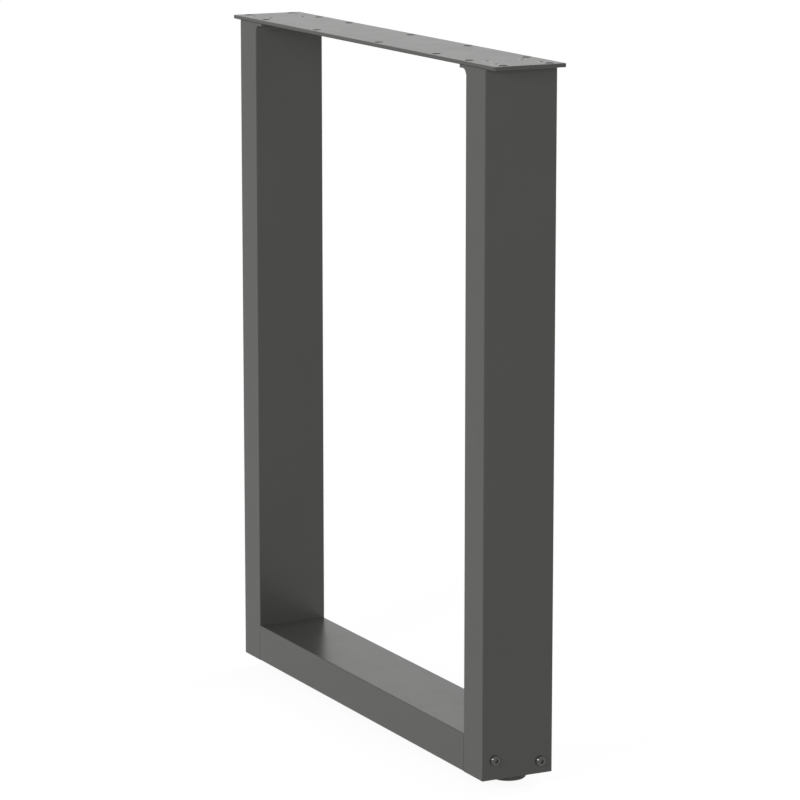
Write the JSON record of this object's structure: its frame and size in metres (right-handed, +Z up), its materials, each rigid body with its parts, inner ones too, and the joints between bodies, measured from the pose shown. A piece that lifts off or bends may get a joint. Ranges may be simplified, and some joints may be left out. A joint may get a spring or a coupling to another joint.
{
  "type": "u-shaped table leg",
  "caption": "U-shaped steel table leg of rectangular tube: drilled top plate, upright columns, bottom rail bolted between them and levelling feet.",
  "frame": {"origin": "on the floor, below the middle of the leg", "axes": "+Z up, +X along the top plate and the rail, Y across them"},
  "size_m": [0.6, 0.08, 0.725],
  "materials": {
    "powder_coat": "satin anthracite powder coat",
    "dark_screw": "dark coated screw steel",
    "zinc_steel": "bright zinc plate",
    "black_plastic": "black moulded plastic"
  },
  "bodies": {
    "frame": {"top_plate": "powder_coat", "bottom_rail": "powder_coat", "right_column": "powder_coat", "right_column_cap": "powder_coat", "right_cap_weld": "powder_coat", "right_plate_screws": "dark_screw", "right_rail_screws": "dark_screw", "right_column_spacers": "zinc_steel", "right_rail_end_plate": "powder_coat", "right_rail_nuts": "zinc_steel", "right_column_sole": "powder_coat", "right_foot_nut": "zinc_steel", "left_column": "powder_coat", "left_column_cap": "powder_coat", "left_cap_weld": "powder_coat", "left_plate_screws": "dark_screw", "left_rail_screws": "dark_screw", "left_column_spacers": "zinc_steel", "left_rail_end_plate": "powder_coat", "left_rail_nuts": "zinc_steel", "left_column_sole": "powder_coat", "left_foot_nut": "zinc_steel"},
    "right_foot": {"right_foot_stem": "zinc_steel", "right_foot_pad": "black_plastic"},
    "left_foot": {"left_foot_stem": "zinc_steel", "left_foot_pad": "black_plastic"}
  },
  "joints": [
    {"name": "right_foot_level", "type": "slide", "parent": "frame", "child": "right_foot", "axis": [0, 0, -1], "range_m": [0, 0.01]},
    {"name": "left_foot_level", "type": "slide", "parent": "frame", "child": "left_foot", "axis": [0, 0, -1], "range_m": [0, 0.01]}
  ]
}
